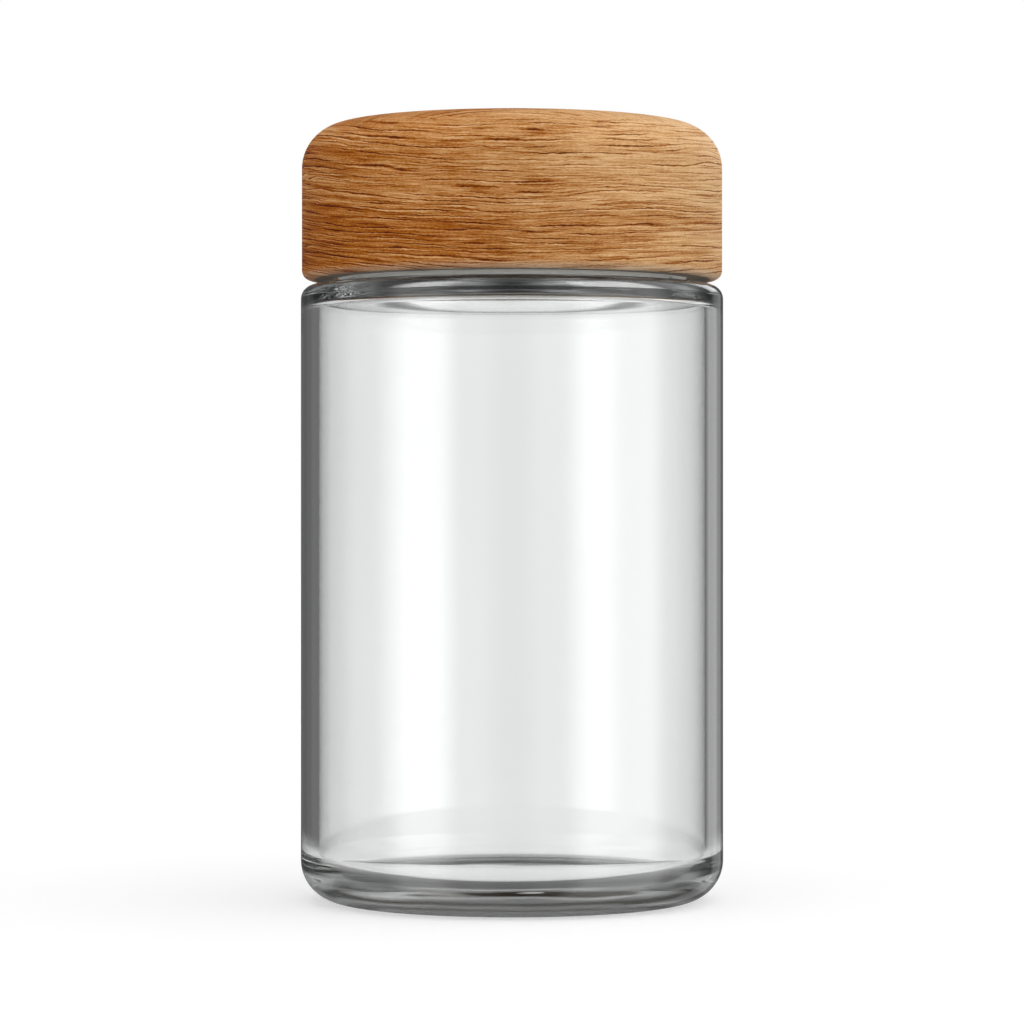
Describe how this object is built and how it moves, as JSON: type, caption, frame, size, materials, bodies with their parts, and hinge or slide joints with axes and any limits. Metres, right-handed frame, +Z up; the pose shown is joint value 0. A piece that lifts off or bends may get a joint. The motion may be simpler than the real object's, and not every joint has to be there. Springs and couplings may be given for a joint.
{
  "type": "child-resistant jar",
  "caption": "Straight-sided clear glass jar with a threaded neck and a crowned wooden cap that is pushed down and turned to open.",
  "frame": {"origin": "centre of the base, on the plane that the jar stands on", "axes": "+Z up along the jar's axis; the grain of the wooden cap runs along X; the picture looks along +Y"},
  "size_m": [0.083, 0.083, 0.1539],
  "materials": {
    "clear_glass": "fire-polished clear glass",
    "liner_foam": "foamed polyethylene, dark grey, matt",
    "cap_plastic": "moulded polypropylene, white, satin",
    "spring_plastic": "moulded acetal, satin",
    "shell_plastic": "moulded polypropylene, warm white, satin",
    "turned_wood": "turned and oiled, open grain, satin"
  },
  "bodies": {
    "jar": {"jar_body": "clear_glass"},
    "liner": {"seal_liner": "liner_foam"},
    "inner_cap": {"inner_cap": "cap_plastic"},
    "spring": {"spring_disc": "spring_plastic"},
    "outer_cap": {"drive_shell": "shell_plastic", "wood_cap": "turned_wood"}
  },
  "joints": [
    {"name": "lid_lift", "type": "slide", "parent": "jar", "child": "liner", "axis": [0, 0, 1], "range_m": [0, 0.02115]},
    {"name": "lid_turn", "type": "hinge", "parent": "liner", "child": "inner_cap", "pos_m": [0, 0, 0.1336], "axis": [0, 0, 1], "range_deg": [0, 1800]},
    {"name": "cap_slip", "type": "hinge", "parent": "inner_cap", "child": "spring", "pos_m": [0, 0, 0.137], "axis": [0, 0, 1], "continuous": true},
    {"name": "cap_push", "type": "slide", "parent": "spring", "child": "outer_cap", "axis": [0, 0, -1], "range_m": [0, 0.0009], "stiffness_N_per_m": 4000, "springref_m": -0.001, "deforming": ["spring_disc"]}
  ],
  "couplings": [
    {"joint": "lid_turn", "follows": "lid_lift", "rad_per_m": 1485.4}
  ]
}
